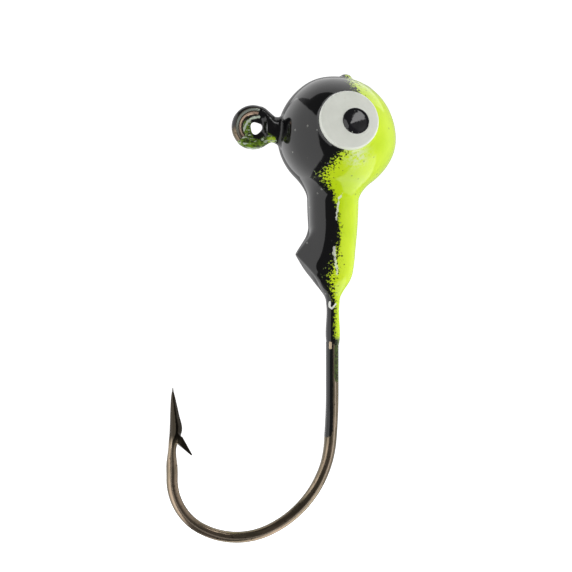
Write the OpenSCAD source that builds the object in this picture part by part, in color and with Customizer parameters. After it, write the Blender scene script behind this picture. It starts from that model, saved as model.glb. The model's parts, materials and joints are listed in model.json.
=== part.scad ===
// Round ball-head jig with a barbed bait collar, an in-line ringed line tie and a one-piece wire hook.
// The origin is the centre of the line tie, +Z runs towards the nose, the hook lies in the XZ plane,
// -X is the back of the lure (line tie and hook point) and +X is its belly.

/* [Hook wire] */
// Diameter of the hook wire
wire_d = 0.77; // [0.7:0.01:0.82]
// Radius of the line tie, measured to the middle of the wire
ring_r = 1.05; // [1:0.01:1.15]
// Radius of the small bend where the wire leaves the line tie
crook_r = 0.6; // [0.5:0.05:0.7]
// Gap between the wire's cut end and the place where it would close the line tie, in degrees
ring_gap = 37; // [36:1:60]
// Radius of the right-angle bend that is cast inside the head
elbow_r = 1.5; // [1.2:0.1:2]
// Distance from the line tie to the axis of the shank
shank_x = 5.44; // [5.3:0.01:5.6]
// How far below the line tie the straight shank ends
shank_drop = 17.7; // [17:0.1:19]
// Radius of the slow curve that ends the shank
lead_in_r = 38.5; // [30:0.5:45]
// Radius of the bend's shoulder
shoulder_r = 7.4; // [7.2:0.1:7.6]
// Radius of the bottom of the bend
bottom_r = 5.26; // [5.1:0.02:5.5]
// Radius of the bend's rise to the point
rise_r = 3.72; // [3.5:0.02:3.9]

/* [Hook point] */
// Length of the round wire between the bend and the cut of the barb
leg_l = 0.75; // [0.5:0.05:1]
// Height of the barb's notch above the end of the bend
notch_l = 2.15; // [2:0.05:2.3]
// Height of the widest place of the spear above the end of the bend
spear_l = 3.2; // [3.1:0.05:3.3]
// Height of the tip of the point above the end of the bend
point_l = 6.1; // [5.5:0.1:6.5]
// Diameter of the spear at its widest place
spear_d = 0.88; // [0.8:0.01:1]
// Diameter of the wire that is left beside the notch
notch_d = 0.56; // [0.5:0.01:0.6]
// How far the tip of the barb stands out from the axis of the leg
barb_reach = 1.2; // [1:0.01:1.3]
// Thickness of the barb
barb_t = 0.4; // [0.3:0.05:0.5]

/* [Lead head] */
// Diameter of the painted ball
ball_d = 7.9; // [7.8:0.01:8]
// Distance from the line tie to the centre of the ball, across
ball_x = 5.66; // [5.6:0.01:5.7]
// How far below the line tie the centre of the ball lies
ball_drop = 0.54; // [0.45:0.01:0.6]
// Diameter of the painted collar below the ball
collar_d = 3.42; // [3.2:0.01:3.5]
// How far below the line tie the collar ends
collar_drop = 11.25; // [11:0.05:11.6]
// How far the tip of the bait spur stands out from the shank's axis
spur_reach = 2.48; // [2.3:0.01:2.6]
// Diameter of the pouring gate's stub on the nose
gate_d = 0.84; // [0.7:0.02:1]
// Distance of the gate's stub from the ball's axis, towards the belly
gate_x = 0.6; // [0.4:0.05:0.8]

/* [Paint] */
// Thickness of the white undercoat
undercoat_t = 0.08; // [0.07:0.01:0.09]
// Thickness of the black and the chartreuse topcoat
topcoat_t = 0.08; // [0.07:0.01:0.09]
// Thickness of the paint that runs down the shank
shank_paint_t = 0.06; // [0.05:0.01:0.07]
// How far below the line tie the paint on the shank ends
shank_paint_drop = 14.4; // [13.5:0.1:15]
// Width of the white line that shows between the two colours
white_line_w = 0.12; // [0.1:0.01:0.2]
// Radius of the hole that the paint leaves in the line tie
tie_hole_r = 0.43; // [0.4:0.01:0.5]
// Thickness of the paint film in the line tie
tie_film_t = 0.4; // [0.3:0.05:0.5]

/* [Eyes] */
// Diameter of the eye
eye_d = 4; // [3.9:0.01:4.1]
// Tilt of the eye towards the nose, in degrees
eye_tilt = 14.5; // [10:0.5:18]
// Thickness of the eye's white enamel
eye_white_t = 0.08; // [0.07:0.01:0.1]
// Diameter of the pupil
pupil_d = 1.8; // [1.5:0.05:1.9]
// Thickness of the pupil's black enamel
pupil_t = 0.06; // [0.05:0.01:0.08]
// Offset of the pupil from the middle of the eye, towards the belly
pupil_x = 0.4; // [0.2:0.05:0.6]
// How far the middle of the pupil lies below the middle of the eye
pupil_drop = 0.11; // [0:0.01:0.3]

/* [Hidden] */
$fn = 96;

wire_r = wire_d / 2;
joint_rise = 0.015; // how far a joint stands out round the wire
joint_gap = 0.02; // how far the end of each length of wire stays from the middle of its joint
far = 40; // half a side of the blocks that divide the paint
trim_clear = 0.1; // how far a trimming outline runs past what it trims

spear_bulge = 0.22; // the spear's widest place lies this far towards the gap
tip_lean = 0.05; // and its tip this far the other way

// The barb's outline: its root inside the spear, its back, its tip, and its cut down to the notch
barb_outline = [
    [-0.1, 0.05 - spear_l],
    [-0.6, 0.35 - spear_l],
    [-barb_reach, 0.43 - notch_l],
    [-0.4, -0.13 - notch_l],
    [-0.1, -0.18 - notch_l]
];

// The bend as [radius, turn] arcs, one after another; the leg then leans a degree towards the shank
bend = [[lead_in_r, 4.7], [shoulder_r, 61.4], [bottom_r, 50.8], [rise_r, 64.1]];

// The crook's arc touches the line tie's circle on one side and the leg's axis on the other
crook_x = sqrt(pow(ring_r + crook_r, 2) - pow(crook_r, 2));
crook_turn = acos(crook_r / (ring_r + crook_r));
ring_start = 90 - crook_turn;

ball_r = ball_d / 2 - undercoat_t - topcoat_t; // the bare lead ball
collar_r = collar_d / 2 - undercoat_t - topcoat_t; // the bare lead collar
paint_t = undercoat_t + topcoat_t;

neck_r = 0.62; // paint that fills the corner between line tie and ball
neck_start = ring_r + 0.15; // the neck begins inside the line tie's wire

throat_r = collar_r + 0.62; // foot of the cone that blends the ball into the collar
throat_drop = ball_drop + 3.2;
collar_top_drop = ball_drop + 4.25;
waist_r = collar_r - 0.35; // the collar's draft narrows it towards the hook
waist_drop = collar_drop - 1.6;
tail_r = wire_r + 0.06; // where the collar's end cone meets the shank

spur_top_drop = 7.05; // where the spur leaves the collar
spur_top_r = collar_r - 0.1; // its sloping top starts inside the collar
spur_tip_drop = 8.45;
spur_tip_h = 0.2; // height of the spur's blunt tip
spur_tip_w = 0.3; // width of the spur's blunt tip
spur_root_w = 2.3; // width of the spur inside the collar
spur_past_shank = 0.5; // the wedge starts this far on the shank's belly side

gate_rise = 0.08; // how far the gate's stub stands above the ball

eye_lip_w = 0.04; // how far the eye's edge reaches past the undercoat on its boss
boss_r = eye_d / 2 - undercoat_t - eye_lip_w; // the cast boss under the eye
boss_rise = 0.03; // its flat face stands just proud of the ball
boss_face = ball_r + boss_rise;
eye_bare_w = 0.05; // width of the bare undercoat round the boss

// The line between the colours as seen from the side, from the nose down to the end of the paint
colour_line = [
    [ball_x + 0.7, far],
    [ball_x + 0.7, ball_r / 2 - ball_drop],
    [ball_x - 1.2, -ball_drop - ball_r / 2],
    [ball_x - 1.2, -throat_drop],
    [shank_x, -collar_top_drop],
    [shank_x, -far]
];

function drop(z) = -z;

// ---------- hook ----------

// The wire is made of straight and bent lengths. Each stops a hair short of its ends, and a ball
// a hair thicker than the wire joins it to the next length.

module wire_joint(radius = wire_r) {
    sphere(r = radius + joint_rise);
}

module wire_arc(radius, turn) {
    trim = joint_gap / radius * 180 / PI;
    rotate([0, 0, trim]) rotate_extrude(angle = turn - 2 * trim)
        translate([radius, 0]) circle(d = wire_d);
}

// A straight or tapered length between two points of the hook's plane
module wire_length(from, to, r1 = wire_r, r2 = wire_r) {
    run = to - from;
    translate([from[0], from[1], 0])
        rotate([0, 0, atan2(run[1], run[0])])
            rotate([0, 90, 0]) translate([0, 0, joint_gap])
                cylinder(r1 = r1, r2 = r2, h = norm(run) - 2 * joint_gap);
}

// One arc of the bend after another; each starts heading along -Y and turns towards -X
module bend_from(i) {
    wire_joint();
    if (i < len(bend)) {
        radius = bend[i][0];
        turn = bend[i][1];
        translate([-radius, 0, 0]) rotate([0, 0, -turn]) {
            wire_arc(radius, turn);
            translate([radius, 0, 0]) bend_from(i + 1);
        }
    } else {
        point_leg();
    }
}

// The leg, the spear point and the barb; -Y runs to the tip and -X faces the hook's gap
module point_leg() {
    cut = [0, -leg_l];
    notch = [0, -notch_l];
    spear = [-spear_bulge, -spear_l];
    tip = [tip_lean, -point_l];
    wire_length([0, 0], cut);
    wire_length(cut, notch, wire_r, notch_d / 2);
    wire_length(notch, spear, notch_d / 2, spear_d / 2);
    wire_length(spear, tip, spear_d / 2, joint_gap);
    translate(cut) wire_joint();
    translate(notch) wire_joint(notch_d / 2);
    translate(spear) wire_joint(spear_d / 2);
    translate([0, 0, -barb_t / 2]) linear_extrude(barb_t) polygon(barb_outline);
}

// The whole wire, drawn flat and then stood up in the XZ plane
module wire_form() {
    leg_start = [crook_x, 0];
    elbow_start = [shank_x - elbow_r, 0];
    elbow_end = [shank_x, -elbow_r];
    shank_end = [shank_x, -shank_drop];
    rotate([90, 0, 0]) {
        rotate([0, 0, ring_start]) {
            wire_arc(ring_r, 360 - ring_gap - ring_start);
            translate([ring_r, 0]) wire_joint();
        }
        translate([crook_x, crook_r]) rotate([0, 0, 270 - crook_turn])
            wire_arc(crook_r, crook_turn);
        translate(leg_start) wire_joint();
        wire_length(leg_start, elbow_start);
        translate(elbow_start) wire_joint();
        translate(elbow_start - [0, elbow_r]) wire_arc(elbow_r, 90);
        translate(elbow_end) wire_joint();
        wire_length(elbow_end, shank_end);
        translate(shank_end) bend_from(0);
    }
}

module hook() {
    color("#8a7350") wire_form();
}

// ---------- head ----------

// Points along the outward normal of an eye; side is -1 on the right eye and 1 on the left
module on_eye(side) {
    translate([ball_x, 0, drop(ball_drop)])
        rotate([-side * (90 - eye_tilt), 0, 0]) children();
}

// Half outline of the collar, grown outwards by g
function collar_outline(g) = [
    [0, drop(ball_drop)],
    [throat_r + g, drop(throat_drop)],
    [collar_r + g, drop(collar_top_drop)],
    [collar_r + g, drop(collar_top_drop + 1)],
    [waist_r + g, drop(waist_drop)],
    [tail_r + g, drop(collar_drop + g)],
    [0, drop(collar_drop + g)]
];

// The bait spur is a turned barb, trimmed to a wedge by its outline from above
module spur(g) {
    reach = spur_reach - paint_t + g;
    translate([shank_x, 0, 0]) intersection() {
        rotate_extrude() polygon([
            [0, drop(spur_top_drop) + g],
            [spur_top_r, drop(spur_top_drop) + g],
            [reach, drop(spur_tip_drop) + g],
            [reach, drop(spur_tip_drop + spur_tip_h + g)],
            [tail_r + g, drop(collar_drop + g)],
            [0, drop(collar_drop + g)]
        ]);
        translate([0, 0, -far / 2]) linear_extrude(far) polygon([
            [spur_past_shank, spur_root_w / 2 + g],
            [-waist_r, spur_root_w / 2 + g],
            [-reach - trim_clear, spur_tip_w / 2 + g],
            [-reach - trim_clear, -spur_tip_w / 2 - g],
            [-waist_r, -spur_root_w / 2 - g],
            [spur_past_shank, -spur_root_w / 2 - g]
        ]);
    }
}

// The outside of the head, grown outwards by g from the bare lead
module head_form(g) {
    translate([ball_x, 0, drop(ball_drop)]) sphere(r = ball_r + g);
    translate([shank_x, 0, 0]) rotate_extrude() polygon(collar_outline(g));
    spur(g);
    for (side = [-1, 1]) {
        on_eye(side) cylinder(r = boss_r + g, h = boss_face + g);
    }
    translate([ball_x + gate_x, 0, drop(ball_drop)])
        cylinder(d = gate_d - 2 * paint_t + 2 * g, h = ball_r + gate_rise + g);
}

module lead_head() {
    color("#6f7276") difference() {
        head_form(0);
        wire_form();
    }
}

// ---------- paint ----------

module white_undercoat() {
    color("#eceee6") difference() {
        head_form(undercoat_t);
        head_form(0);
        wire_form();
    }
}

// The topcoat over the whole head, with its run down the shank and its fill behind the line tie
module topcoat_form() {
    difference() {
        union() {
            head_form(paint_t);
            translate([shank_x, 0, drop(shank_paint_drop)])
                cylinder(r = wire_r + shank_paint_t, h = shank_paint_drop - collar_drop);
            translate([neck_start, 0, 0]) rotate([0, 90, 0])
                cylinder(r = neck_r, h = ball_x - neck_start);
        }
        head_form(undercoat_t);
        wire_form();
        for (side = [-1, 1]) {
            on_eye(side) cylinder(r = boss_r + paint_t + eye_bare_w, h = ball_d);
        }
    }
}

// Everything on one side of the line between the colours; back is -1 and belly is 1
module colour_side(side) {
    edge = side * white_line_w / 2;
    rotate([90, 0, 0]) translate([edge, 0, -far / 2]) linear_extrude(far)
        polygon(concat(colour_line, [[side * far, -far], [side * far, far]]));
}

// The paint film in the line tie, cut in two along a slanting line
module tie_film(turn) {
    difference() {
        rotate([90, 0, 0]) intersection() {
            translate([0, 0, -tie_film_t / 2]) linear_extrude(tie_film_t) difference() {
                circle(r = ring_r);
                circle(r = tie_hole_r);
            }
            rotate([0, 0, turn]) translate([0, -far / 2, -far / 2]) cube([far, far, far]);
        }
        wire_form();
    }
}

module black_topcoat() {
    color("#1b1c1e") {
        intersection() {
            topcoat_form();
            colour_side(-1);
        }
        tie_film(45);
    }
}

module chartreuse_topcoat() {
    color("#c8ee3a") {
        intersection() {
            topcoat_form();
            colour_side(1);
        }
        tie_film(225);
    }
}

// ---------- eyes ----------

module eye_white(side) {
    color("#ccccc4") on_eye(side) translate([0, 0, boss_face + undercoat_t])
        cylinder(d = eye_d, h = eye_white_t);
}

module pupil(side) {
    face = boss_face + undercoat_t + eye_white_t;
    color("#121214") on_eye(side) translate([pupil_x, side * pupil_drop, face])
        cylinder(d = pupil_d, h = pupil_t);
}

module eye_white_left() {
    eye_white(1);
}

module eye_white_right() {
    eye_white(-1);
}

module pupil_left() {
    pupil(1);
}

module pupil_right() {
    pupil(-1);
}

hook();
lead_head();
white_undercoat();
black_topcoat();
chartreuse_topcoat();
eye_white_left();
eye_white_right();
pupil_left();
pupil_right();
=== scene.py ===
import json
import math

import bpy
import numpy as np
from mathutils import Matrix, Vector


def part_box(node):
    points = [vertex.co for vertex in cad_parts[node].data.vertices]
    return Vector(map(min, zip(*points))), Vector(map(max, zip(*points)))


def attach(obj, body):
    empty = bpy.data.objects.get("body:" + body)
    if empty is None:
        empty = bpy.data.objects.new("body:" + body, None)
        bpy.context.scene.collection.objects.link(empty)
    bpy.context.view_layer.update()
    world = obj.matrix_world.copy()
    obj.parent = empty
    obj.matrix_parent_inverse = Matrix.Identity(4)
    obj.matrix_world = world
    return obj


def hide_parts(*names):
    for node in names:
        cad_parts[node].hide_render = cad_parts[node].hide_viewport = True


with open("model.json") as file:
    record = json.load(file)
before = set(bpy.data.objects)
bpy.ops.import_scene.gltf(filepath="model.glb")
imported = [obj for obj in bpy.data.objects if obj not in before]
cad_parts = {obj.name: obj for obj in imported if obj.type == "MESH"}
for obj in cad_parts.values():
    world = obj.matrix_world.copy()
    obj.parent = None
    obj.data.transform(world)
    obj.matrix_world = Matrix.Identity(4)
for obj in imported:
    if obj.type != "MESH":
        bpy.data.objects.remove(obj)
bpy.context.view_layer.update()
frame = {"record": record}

MM = 0.001

# ---------- sizes and places, in millimetres ----------


def box_mm(node):
    """A CAD node's lowest and highest corners."""
    low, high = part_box(node)
    return np.array(low) / MM, np.array(high) / MM


def mount_mm(name):
    """Where one of the record's mounts is."""
    mount = next(m for m in frame["record"]["mounts"] if m["name"] == name)
    return np.array(mount["pos_m"]) / MM


LEAD_LOW, LEAD_HIGH = box_mm("lead_head")
EYE_LOW, EYE_HIGH = box_mm("eye_white_right")
PUPIL_LOW, PUPIL_HIGH = box_mm("pupil_right")
HOOK_LOW, HOOK_HIGH = box_mm("hook")

SHANK_X = mount_mm("bait_collar")[0]
COAT = 0.08  # thickness of each coat of paint
BALL_R = (LEAD_HIGH[0] - LEAD_LOW[0]) / 2 + 2 * COAT
BALL_DROP = 0.54  # how far the middle of the ball is below the line tie's
BALL = np.array([(LEAD_LOW[0] + LEAD_HIGH[0]) / 2, 0.0, -BALL_DROP])

# The hook's wire, from the line tie to the leg of the point; the radii are to its middle
WIRE_R = 0.388
RING_X = -0.05
RING_R = 1.08
RING_END = 37  # how far the wire's free end stays below the leg to the ball, in degrees
CROOK_R = 0.6  # the bend from the ring into that leg
ELBOW_R = 1.5
SHANK_END = -17.7
BEND = [(36.4, 5.15), (7.23, 61.48), (5.29, 51.28), (3.71, 63.1)]  # radius and turn of each arc

EYE_R = 2.0
EYE_FACE = BALL_R + 0.02
EYE_TURNS = 96
PUPIL_R = 0.9
PUPIL_LOWER = 0.11  # how far the pupil is below the middle of the eye
PEAK = (-0.5, -0.3)  # the peak of the pupil's drop of enamel, from its middle
PEAK_SLOPE = 0.19
PEAK_H = 0.24

# ---------- distance fields ----------
# Each takes points as an array of x, y, z in millimetres and gives how far they are outside.


def round_union(a, b, radius):
    """Two solids joined with a fillet of that radius."""
    fillet = np.hypot(np.maximum(radius - a, 0), np.maximum(radius - b, 0))
    return np.maximum(radius, np.minimum(a, b)) - fillet


def round_overlap(a, b, radius):
    """What two solids share, with its edge rounded to that radius."""
    return -round_union(-a, -b, radius)


def smooth_curve(x, points):
    """A curve through points of rising x, level at each end."""
    px, py = np.array(points, float).T
    slope = np.gradient(py, px)
    slope[0] = slope[-1] = 0
    x = np.clip(x, px[0], px[-1])
    i = np.clip(np.searchsorted(px, x) - 1, 0, len(px) - 2)
    width = px[i + 1] - px[i]
    t = (x - px[i]) / width
    a = (1 + 2 * t) * (1 - t) ** 2 * py[i] + t * (1 - t) ** 2 * width * slope[i]
    b = t * t * (3 - 2 * t) * py[i + 1] + t * t * (t - 1) * width * slope[i + 1]
    return a + b


def bump(x, centre, width):
    """1 at the centre, falling smoothly to nothing on both sides."""
    return np.exp(-(((x - centre) / width) ** 2))


def arc_distance(x, z, centre, radius, start, turn):
    """Places beside a clockwise arc in the hook's plane: how far off, how far outside, and how far along."""
    dx, dz = x - centre[0], z - centre[1]
    along = (start - np.degrees(np.arctan2(dz, dx))) % 360
    past = along > turn
    along = np.where(past, np.where(along > 180 + turn / 2, 0, turn), along)
    angle = np.radians(start - along)
    near_x, near_z = centre[0] + radius * np.cos(angle), centre[1] + radius * np.sin(angle)
    return np.hypot(x - near_x, z - near_z), np.hypot(dx, dz) - radius, np.radians(along) * radius


def line_distance(x, z, start, end):
    """Places beside a line in the hook's plane: how far off, how far to its left, and how far along."""
    run = np.subtract(end, start)
    length = np.hypot(*run)
    dx, dz = x - start[0], z - start[1]
    along = np.clip((dx * run[0] + dz * run[1]) / length, 0, length)
    left = (dz * run[0] - dx * run[1]) / length
    near_x, near_z = start[0] + run[0] / length * along, start[1] + run[1] / length * along
    return np.hypot(x - near_x, z - near_z), left, along


def wire_route():
    """The wire's parts from the line tie to the end of the bend, each as (function, its values, length)."""
    crook_x = RING_X + math.sqrt((RING_R + CROOK_R) ** 2 - CROOK_R**2)
    ring_start = math.degrees(math.asin(CROOK_R / (RING_R + CROOK_R)))
    ring_turn = 360 - RING_END - ring_start
    crook_turn = 90 - ring_start
    elbow_x = SHANK_X - ELBOW_R
    route = [
        (arc_distance, ((RING_X, 0), RING_R, -RING_END, ring_turn), math.radians(ring_turn) * RING_R),
        (arc_distance, ((crook_x, CROOK_R), CROOK_R, 270, crook_turn), math.radians(crook_turn) * CROOK_R),
        (line_distance, ((crook_x, 0), (elbow_x, 0)), elbow_x - crook_x),
        (arc_distance, ((elbow_x, -ELBOW_R), ELBOW_R, 90, 90), math.pi / 2 * ELBOW_R),
        (line_distance, ((SHANK_X, -ELBOW_R), (SHANK_X, SHANK_END)), -ELBOW_R - SHANK_END),
    ]
    place, heading = np.array([SHANK_X, SHANK_END]), -90.0
    for radius, turn in BEND:
        start = heading + 90
        centre = place - radius * np.array([math.cos(math.radians(start)), math.sin(math.radians(start))])
        route.append((arc_distance, (tuple(centre), radius, start, turn), math.radians(turn) * radius))
        heading -= turn
        end = math.radians(heading + 90)
        place = centre + radius * np.array([math.cos(end), math.sin(end)])
    return route, place, heading


ROUTE, LEG_START, LEG_HEADING = wire_route()
LEG_ALONG = sum(length for _, _, length in ROUTE)  # how far along the wire the leg starts
GROUND_FROM = 2.4  # how far up the leg its ground facets begin


def wire_distance(points):
    """How far points lie from the middle of the wire, up to the end of its bend."""
    x, y, z = points[..., 0], points[..., 1], points[..., 2]
    nearest = np.full(x.shape, np.inf)
    for function, values, _ in ROUTE:
        nearest = np.minimum(nearest, function(x, z, *values)[0])
    return np.hypot(nearest, y)


def wire_places(points):
    """Where points lie on the hook: outside its wire's middle, through, and along from the line tie."""
    x, y, z = points.T
    nearest = np.full(len(points), np.inf)
    outside, along = np.zeros(len(points)), np.zeros(len(points))
    passed = 0.0
    for function, values, length in ROUTE:
        off, left, run = function(x, z, *values)
        nearer = off < nearest
        nearest = np.where(nearer, off, nearest)
        outside = np.where(nearer, left, outside)
        along = np.where(nearer, passed + run, along)
        passed += length
    across, _, up_leg = leg_frame(points)
    on_leg = (up_leg > 0) & (np.abs(across) < nearest + WIRE_R)
    return np.stack([np.where(on_leg, -across, outside), y, np.where(on_leg, passed + up_leg, along)], -1)


def leg_frame(points):
    """Places on the leg: across towards the hook's gap, through, and along towards the point."""
    angle = math.radians(LEG_HEADING)
    dx, dz = points[..., 0] - LEG_START[0], points[..., 2] - LEG_START[1]
    along = dx * math.cos(angle) + dz * math.sin(angle)
    across = dx * math.sin(angle) - dz * math.cos(angle)
    return across, points[..., 1], along


# The spear along its leg: how far its middle leans into the gap, and its radius
SPEAR_MIDDLE = [(0, 0), (2.2, 0.0), (3.2, 0.2), (4.4, 0.08), (6.1, -0.06)]
SPEAR_R = [
    (0, WIRE_R), (0.7, WIRE_R), (2.15, 0.28), (2.7, 0.36), (3.2, 0.42), (4.2, 0.31), (5.3, 0.16), (6.1, 0.035)
]
SPEAR_END = 6.13
SPEAR_SLOPE = 0.95  # a tapering solid is this much nearer than it is square to its axis
LEG_OVERLAP = 0.05  # the leg starts inside the bend
GROUND_RUN = 0.8  # the facets deepen over this length
FACET_WAY = (0.72, 0.80)  # the way each facet faces, across and through the leg
FACET_EDGE = 0.93  # how much is left of the round between the facets
BARB = [(0.3, 2.98), (0.62, 2.74), (1.36, 1.58), (1.29, 1.53), (0.22, 2.4)]  # its outline, across and along
BARB_TIP = (1.32, 1.55)
BARB_TIP_T = 0.08  # half its thickness at the tip
BARB_TAPER = 0.2  # how fast it thickens towards the root


def point_field(points):
    """The leg, the ground spear point and the barb that is lifted out of it."""
    across, through, along = leg_frame(points)
    u, v = np.abs(across - smooth_curve(along, SPEAR_MIDDLE)), np.abs(through)
    from_middle = np.hypot(u, v)
    facets = np.maximum(u * FACET_WAY[0] + v * FACET_WAY[1], from_middle * FACET_EDGE) / FACET_EDGE
    ground = np.clip((along - GROUND_FROM) / GROUND_RUN, 0, 1)
    spear = (from_middle * (1 - ground) + facets * ground - smooth_curve(along, SPEAR_R)) * SPEAR_SLOPE
    spear = np.maximum(spear, np.maximum(-LEG_OVERLAP - along, along - SPEAR_END))
    edges = []
    for (x0, y0), (x1, y1) in zip(BARB, BARB[1:] + BARB[:1]):
        run = math.hypot(x1 - x0, y1 - y0)
        edges.append(((across - x0) * (y0 - y1) + (along - y0) * (x1 - x0)) / run)
    barb = np.maximum.reduce(edges)
    to_tip = np.hypot(across - BARB_TIP[0], along - BARB_TIP[1])
    barb = round_overlap(barb, v - BARB_TIP_T - BARB_TAPER * to_tip, 0.06)
    return round_union(spear, barb, 0.1)


# The run of black paint down the back of the shank: its thickness, and the heights of its two ends
RUN_T = 0.08
RUN_TOP = -14.0
RUN_END = -22.5


def hook_field(points):
    """The whole hook, a little thicker where black paint has run down the back of its shank."""
    x, z = points[..., 0] - SHANK_X, points[..., 2]
    in_run = np.clip((RUN_TOP - z) / 0.4, 0, 1) * np.clip((z - RUN_END) / 2.0, 0, 1)
    film = RUN_T * np.clip(0.2 - x / WIRE_R, 0, 1) * in_run * (np.abs(x) < 1)
    return np.minimum(wire_distance(points) - WIRE_R - film, point_field(points))


# The collar's radius at each height, with the paint that runs on down the shank
COLLAR_R = [
    (-14.9, 0.33), (-14.4, 0.435), (-11.9, 0.445), (-11.3, 0.53), (-10.95, 0.72), (-10.3, 1.14),
    (-9.9, 1.3), (-9.3, 1.41), (-8.2, 1.52), (-6.9, 1.64), (-5.5, 1.715), (-4.6, 1.73), (-2.0, 1.73)
]
COLLAR_TOP = -2.0
COLLAR_SLOPE = 0.9
PAINT_END = -14.85

SPUR_TOP = (-1.27, -6.67)
SPUR_TIP = (-2.62, -8.50)
SPUR_FOOT = (-0.45, -11.25)
SPUR_FLANK_R = 1.52  # the most of the collar's radius that the spur's flanks spring from
SPUR_LEAN = 0.61  # how much the flanks close towards the tip
SPUR_CHEEK = [(-11.3, 0), (-10.2, 0.5), (-9.4, 0.78), (-8.88, 0.62), (-8.2, 0.4), (-7.5, 0.2), (-6.6, 0)]
SPUR_SINK = 0.1  # the flanks start inside the collar, so that the two blend
SPUR_DRAW_IN = 0.25  # how much further inside they are on the belly side


def spur_field(points):
    """The bait spur: flanks that run off the collar to a keel, cut by a sloping top and underside."""
    x, y, z = points[..., 0] - SHANK_X, np.abs(points[..., 1]), points[..., 2]

    def above(a, b):
        run = math.hypot(b[0] - a[0], b[1] - a[1])
        return ((x - a[0]) * (a[1] - b[1]) + (z - a[1]) * (b[0] - a[0])) / run

    top = above(SPUR_TIP, SPUR_TOP)
    under = -above(SPUR_TIP, SPUR_FOOT)
    spring = np.minimum(smooth_curve(z, COLLAR_R), SPUR_FLANK_R) - SPUR_SINK
    past = np.where(x < 0, np.minimum(x + smooth_curve(z, SPUR_CHEEK), 0), x)
    close = math.sqrt(1 - SPUR_LEAN**2)
    flank = np.where(-past * close > y * SPUR_LEAN, y * close - past * SPUR_LEAN, np.hypot(past, y))
    flank += SPUR_DRAW_IN * np.clip((x + 0.3) / 0.8, 0, 1) - spring
    return round_overlap(round_overlap(top, under, 0.11), flank, 0.14)


# Places round the ball, seen from the side, are in degrees up from the belly
SWELLS = [(0.10, -14, 22), (0.07, 112, 18)]  # where the paint is thick: how much, where, how far round
SEAM_H = 0.07  # the mould's seam over the nose
SEAM_W = 0.22
SEAM_ARC = (54, 9)  # where it shows, and how far round
GATE_OUT, GATE_UP = 0.66, 3.80  # the pouring gate's stub, from the middle of the ball
GATE_R, GATE_H = 0.42, 0.32
GATE_SLOPE = 0.3
RIM_W = 0.03  # the paint stands this far outside each eye
RIM_SINK = 0.42  # and reaches to this far below the ball's pole
BOSS_STEP = 0.12  # each cast boss stays this far inside its eye


def head_field(points):
    """The painted head with its run of paint down the shank."""
    x, y, z = points[..., 0], points[..., 1], points[..., 2]
    up, out = z - BALL[2], x - BALL[0]
    from_belly = np.degrees(np.arctan2(up, out))
    swell = sum(rise * bump(from_belly, way, reach) for rise, way, reach in SWELLS)
    swell = swell * np.hypot(up, out) / BALL_R
    ball = np.sqrt(((points - BALL) ** 2).sum(-1)) - BALL_R - swell
    collar = (np.hypot(x - SHANK_X, y) - smooth_curve(z, COLLAR_R)) * COLLAR_SLOPE
    collar = np.maximum(collar, np.maximum(PAINT_END - z, z - COLLAR_TOP))
    collar = round_union(collar, spur_field(points), 0.3)
    skin = round_union(ball, collar, 0.75)
    gate = np.sqrt(((out - GATE_OUT) / GATE_R) ** 2 + (y / GATE_R) ** 2 + ((up - GATE_UP) / GATE_H) ** 2)
    skin = round_union(skin, (gate - 1) * GATE_SLOPE, 0.1)
    seam = SEAM_H * bump(y, 0, SEAM_W) * bump(from_belly, *SEAM_ARC)
    for side in (-1, 1):
        height, radius = eye_places(points, side)
        boss = np.maximum(radius - EYE_R - RIM_W, height - BALL_R + RIM_SINK)
        skin = round_union(skin, np.maximum(boss, -height), 0.1)
    return skin - seam


def casting_field(points):
    """The bare lead under both coats, with the bosses that the eyes sit on."""
    casting = head_field(points) + 2 * COAT
    for side in (-1, 1):
        height, radius = eye_places(points, side)
        boss = np.maximum(radius - EYE_R + BOSS_STEP, height - BALL_R + BOSS_STEP)
        casting = np.minimum(casting, np.maximum(boss, -height))
    return casting


def eye_places(points, side):
    """How far points lie along an eye's axis, from the middle of the ball, and how far from that axis."""
    height = (points - BALL) @ eye_axis(side)
    return height, np.sqrt(np.maximum(((points - BALL) ** 2).sum(-1) - height**2, 0))


def eye_axis(side):
    """The way an eye faces; side is -1 on the right of the lure and 1 on the left."""
    centre = (EYE_LOW + EYE_HIGH) / 2 - BALL
    axis = np.array([0.0, side * abs(centre[1]), centre[2]])
    return axis / np.linalg.norm(axis)


# The paint on the line tie
TIE_FILM = 0.04  # its thickness on the wire
TIE_BARE_WAY = 147  # the wire's upper left stays bare, in degrees round the ring
TIE_BARE = [(53, 1), (88, 0)]  # how bare it is, by degrees from there
TIE_BARE_SINK = 0.12  # where it is bare, the film's surface drops inside the wire
TIE_HOLE = (0.17, -0.08)
TIE_HOLE_R = 0.43
TIE_HOLE_WIDTH = 1.1  # the hole's width over its height
TIE_RAGGED = 0.05
TIE_WEB_T = 0.16  # half the thickness of the web round the hole
NECK_START, NECK_END = 0.8, 3.0
NECK_HALF_W = 0.6
NECK_HALF_H = [(0.8, 0.88), (1.17, 0.9), (1.46, 0.9), (1.8, 0.98), (3.0, 1.05)]
NECK_MIDDLE = [(0.8, -0.08), (1.17, -0.1), (1.46, -0.2), (1.9, -0.3)]
TIE_BALL_SINK = 0.012  # on the ball it lies just inside the head's own paint


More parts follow.
